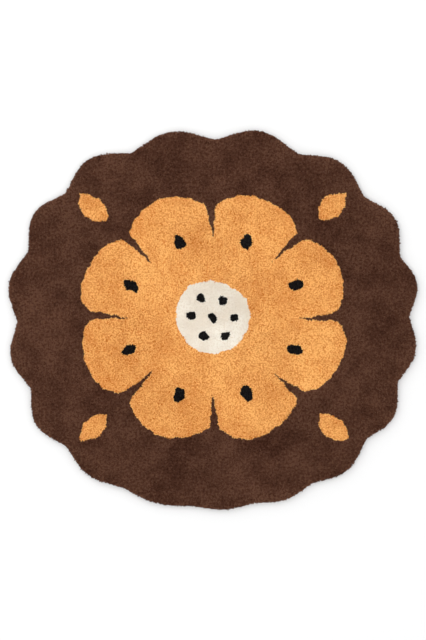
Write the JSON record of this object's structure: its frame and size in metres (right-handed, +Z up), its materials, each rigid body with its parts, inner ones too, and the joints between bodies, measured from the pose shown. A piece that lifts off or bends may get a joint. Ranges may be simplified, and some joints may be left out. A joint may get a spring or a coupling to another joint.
{
  "type": "tufted kids rug",
  "caption": "Flat oval floor rug with a scalloped edge, tufted in short cotton pile on a woven backing, for a child's room.",
  "frame": {"origin": "on the floor under the middle of the rug's outline box", "axes": "+Z up out of the pile, +X across the rug's longer side, +Y towards its top edge in the picture"},
  "size_m": [1.1, 1.02, 0.017],
  "materials": {
    "brown_pile": "matt short cotton pile, dark brown",
    "orange_pile": "matt short cotton pile, orange",
    "cream_pile": "matt short cotton pile, cream",
    "black_pile": "matt short cotton pile, black",
    "backing_cloth": "plain woven cotton canvas, undyed"
  },
  "bodies": {
    "root": {"tufted_rug": "brown_pile"}
  },
  "joints": []
}
